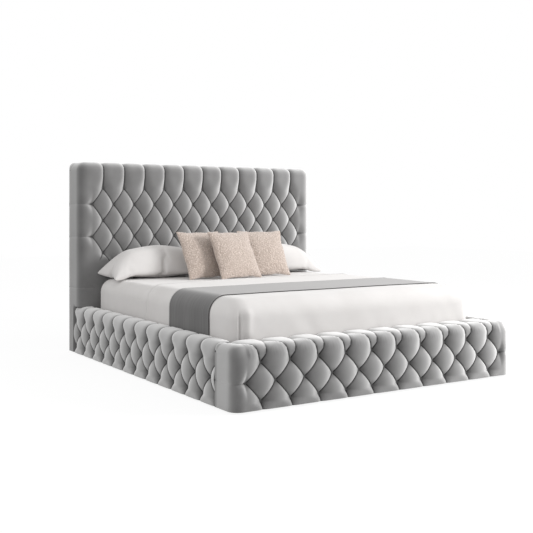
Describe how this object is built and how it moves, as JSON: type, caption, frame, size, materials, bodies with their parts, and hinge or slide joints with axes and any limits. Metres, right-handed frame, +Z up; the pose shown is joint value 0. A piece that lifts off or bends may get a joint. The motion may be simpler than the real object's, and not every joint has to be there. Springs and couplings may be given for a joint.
{
  "type": "upholstered bed",
  "caption": "Velvet upholstered bed with a tall deep-buttoned headboard, buttoned rails and footboard, slatted base, made-up mattress, pillows and scatter cushions.",
  "frame": {"origin": "on the floor under the centre of the bed's outline", "axes": "+Z up, +Y along the bed towards the headboard, +X across the bed to the right as seen from the foot"},
  "size_m": [2.064, 2.443, 1.42],
  "materials": {
    "grey_velvet": "short pile velvet with a soft sheen",
    "back_cloth": "flat woven lining over a thin board",
    "bent_ply": "sealed laminated birch",
    "plywood": "raw plywood",
    "timber": "planed softwood",
    "zinc_steel": "zinc plated",
    "black_steel": "black powder coat",
    "black_plastic": "matt moulded",
    "mattress_ticking": "woven ticking",
    "white_linen": "smooth cotton",
    "runner_cloth": "satin-woven cloth with a soft sheen",
    "boucle": "looped boucle"
  },
  "bodies": {
    "bed_frame": {"centre_beam": "timber", "centre_beam_hangers": "black_steel", "centre_leg_glides": "black_plastic", "centre_legs": "black_steel", "corner_bracket_left": "zinc_steel", "corner_bracket_right": "zinc_steel", "floor_glides": "black_plastic", "footboard_bracket_bolts": "zinc_steel", "footboard_bracket_nuts": "zinc_steel", "footboard_buttons": "grey_velvet", "footboard_cap_board": "timber", "footboard_cover": "grey_velvet", "footboard_inner_board": "timber", "footboard_outer_board": "timber", "footboard_spacers": "timber", "headboard_back_panel": "back_cloth", "headboard_bottom_plate": "timber", "headboard_buttons": "grey_velvet", "headboard_cover": "grey_velvet", "headboard_cross_rail": "timber", "headboard_front_board": "plywood", "headboard_leg_bolts": "zinc_steel", "headboard_leg_left": "timber", "headboard_leg_plates": "zinc_steel", "headboard_leg_right": "timber", "headboard_studs": "timber", "headboard_top_plate": "timber", "rail_board_left": "timber", "rail_board_right": "timber", "rail_bracket_bolts": "zinc_steel", "rail_buttons_left": "grey_velvet", "rail_buttons_right": "grey_velvet", "rail_cover_left": "grey_velvet", "rail_cover_right": "grey_velvet", "rail_threaded_inserts": "zinc_steel", "slat_holders_centre": "black_plastic", "slat_holders_left": "black_plastic", "slat_holders_right": "black_plastic", "slat_ledge_left": "timber", "slat_ledge_right": "timber", "slats_left": "bent_ply", "slats_right": "bent_ply"},
    "mattress": {"mattress_base_layer": "mattress_ticking", "mattress_spring_core": "mattress_ticking", "mattress_comfort_layer": "mattress_ticking", "fitted_sheet": "white_linen", "coverlet": "white_linen", "bed_runner": "runner_cloth"},
    "pillow_left": {"pillow_left": "white_linen"},
    "pillow_right": {"pillow_right": "white_linen"},
    "cushion_left": {"cushion_left": "boucle"},
    "cushion_middle": {"cushion_middle": "boucle"},
    "cushion_right": {"cushion_right": "boucle"}
  },
  "joints": [
    {"name": "mattress_lift", "type": "slide", "parent": "bed_frame", "child": "mattress", "axis": [0, 0, 1], "range_m": [0, 0.35]},
    {"name": "pillow_left_draw", "type": "slide", "parent": "mattress", "child": "pillow_left", "axis": [-1, 0, 0], "range_m": [0, 0.45]},
    {"name": "pillow_right_draw", "type": "slide", "parent": "mattress", "child": "pillow_right", "axis": [1, 0, 0], "range_m": [0, 0.45]},
    {"name": "cushion_left_lift", "type": "slide", "parent": "mattress", "child": "cushion_left", "axis": [-0.0632, 0.4496, 0.891], "range_m": [0, 0.35]},
    {"name": "cushion_middle_lift", "type": "slide", "parent": "mattress", "child": "cushion_middle", "axis": [-0.071, 0.4484, 0.891], "range_m": [0, 0.35]},
    {"name": "cushion_right_lift", "type": "slide", "parent": "mattress", "child": "cushion_right", "axis": [0.0317, 0.4529, 0.891], "range_m": [0, 0.35]}
  ]
}
